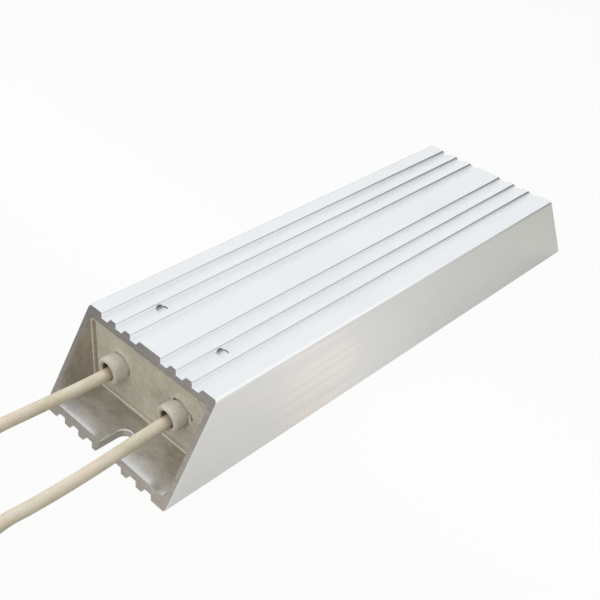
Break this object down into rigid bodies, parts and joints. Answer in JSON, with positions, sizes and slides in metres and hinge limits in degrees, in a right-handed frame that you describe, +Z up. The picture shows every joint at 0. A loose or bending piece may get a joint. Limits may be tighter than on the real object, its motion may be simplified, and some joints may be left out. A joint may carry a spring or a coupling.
{
  "type": "aluminium housed power resistor",
  "caption": "Wirewound power resistor in a grooved aluminium extrusion with slanted ends, open screw slots, hollow ceramic bushes and insulated leads with ring terminals.",
  "frame": {"origin": "middle of the housing's underside", "axes": "+Y along the length, away from the end that the leads come out of; +X to the right seen from that end; +Z up, out of the grooved top"},
  "size_m": [0.1005, 0.3129, 0.032],
  "materials": {
    "aluminium": "satin, lightly blasted, with fine lines along the extrusion",
    "liner": "dull mica sheet",
    "cement": "dull cast cement with small pits",
    "bush_ceramic": "dull unglazed ceramic",
    "core_ceramic": "unglazed ceramic",
    "resistance_wire": "oxidised resistance wire",
    "cap_metal": "plated sheet",
    "brass": "plain brass",
    "lead_insulation": "cream silicone over stranded wire",
    "tinned_metal": "tinned copper",
    "sleeve": "heat-shrink tube"
  },
  "bodies": {
    "root": {"housing": "aluminium", "liner": "liner", "cement_fill": "cement", "bush_left": "bush_ceramic", "bush_right": "bush_ceramic", "core_left": "core_ceramic", "core_right": "core_ceramic", "winding_left": "resistance_wire", "winding_right": "resistance_wire", "front_cap_left": "cap_metal", "front_cap_right": "cap_metal", "rear_cap_left": "cap_metal", "rear_cap_right": "cap_metal", "rear_link": "brass", "splice_left": "brass", "splice_right": "brass", "lead_left": "lead_insulation", "lead_right": "lead_insulation", "lug_left": "tinned_metal", "lug_right": "tinned_metal", "lug_sleeve_left": "sleeve", "lug_sleeve_right": "sleeve"}
  },
  "joints": []
}
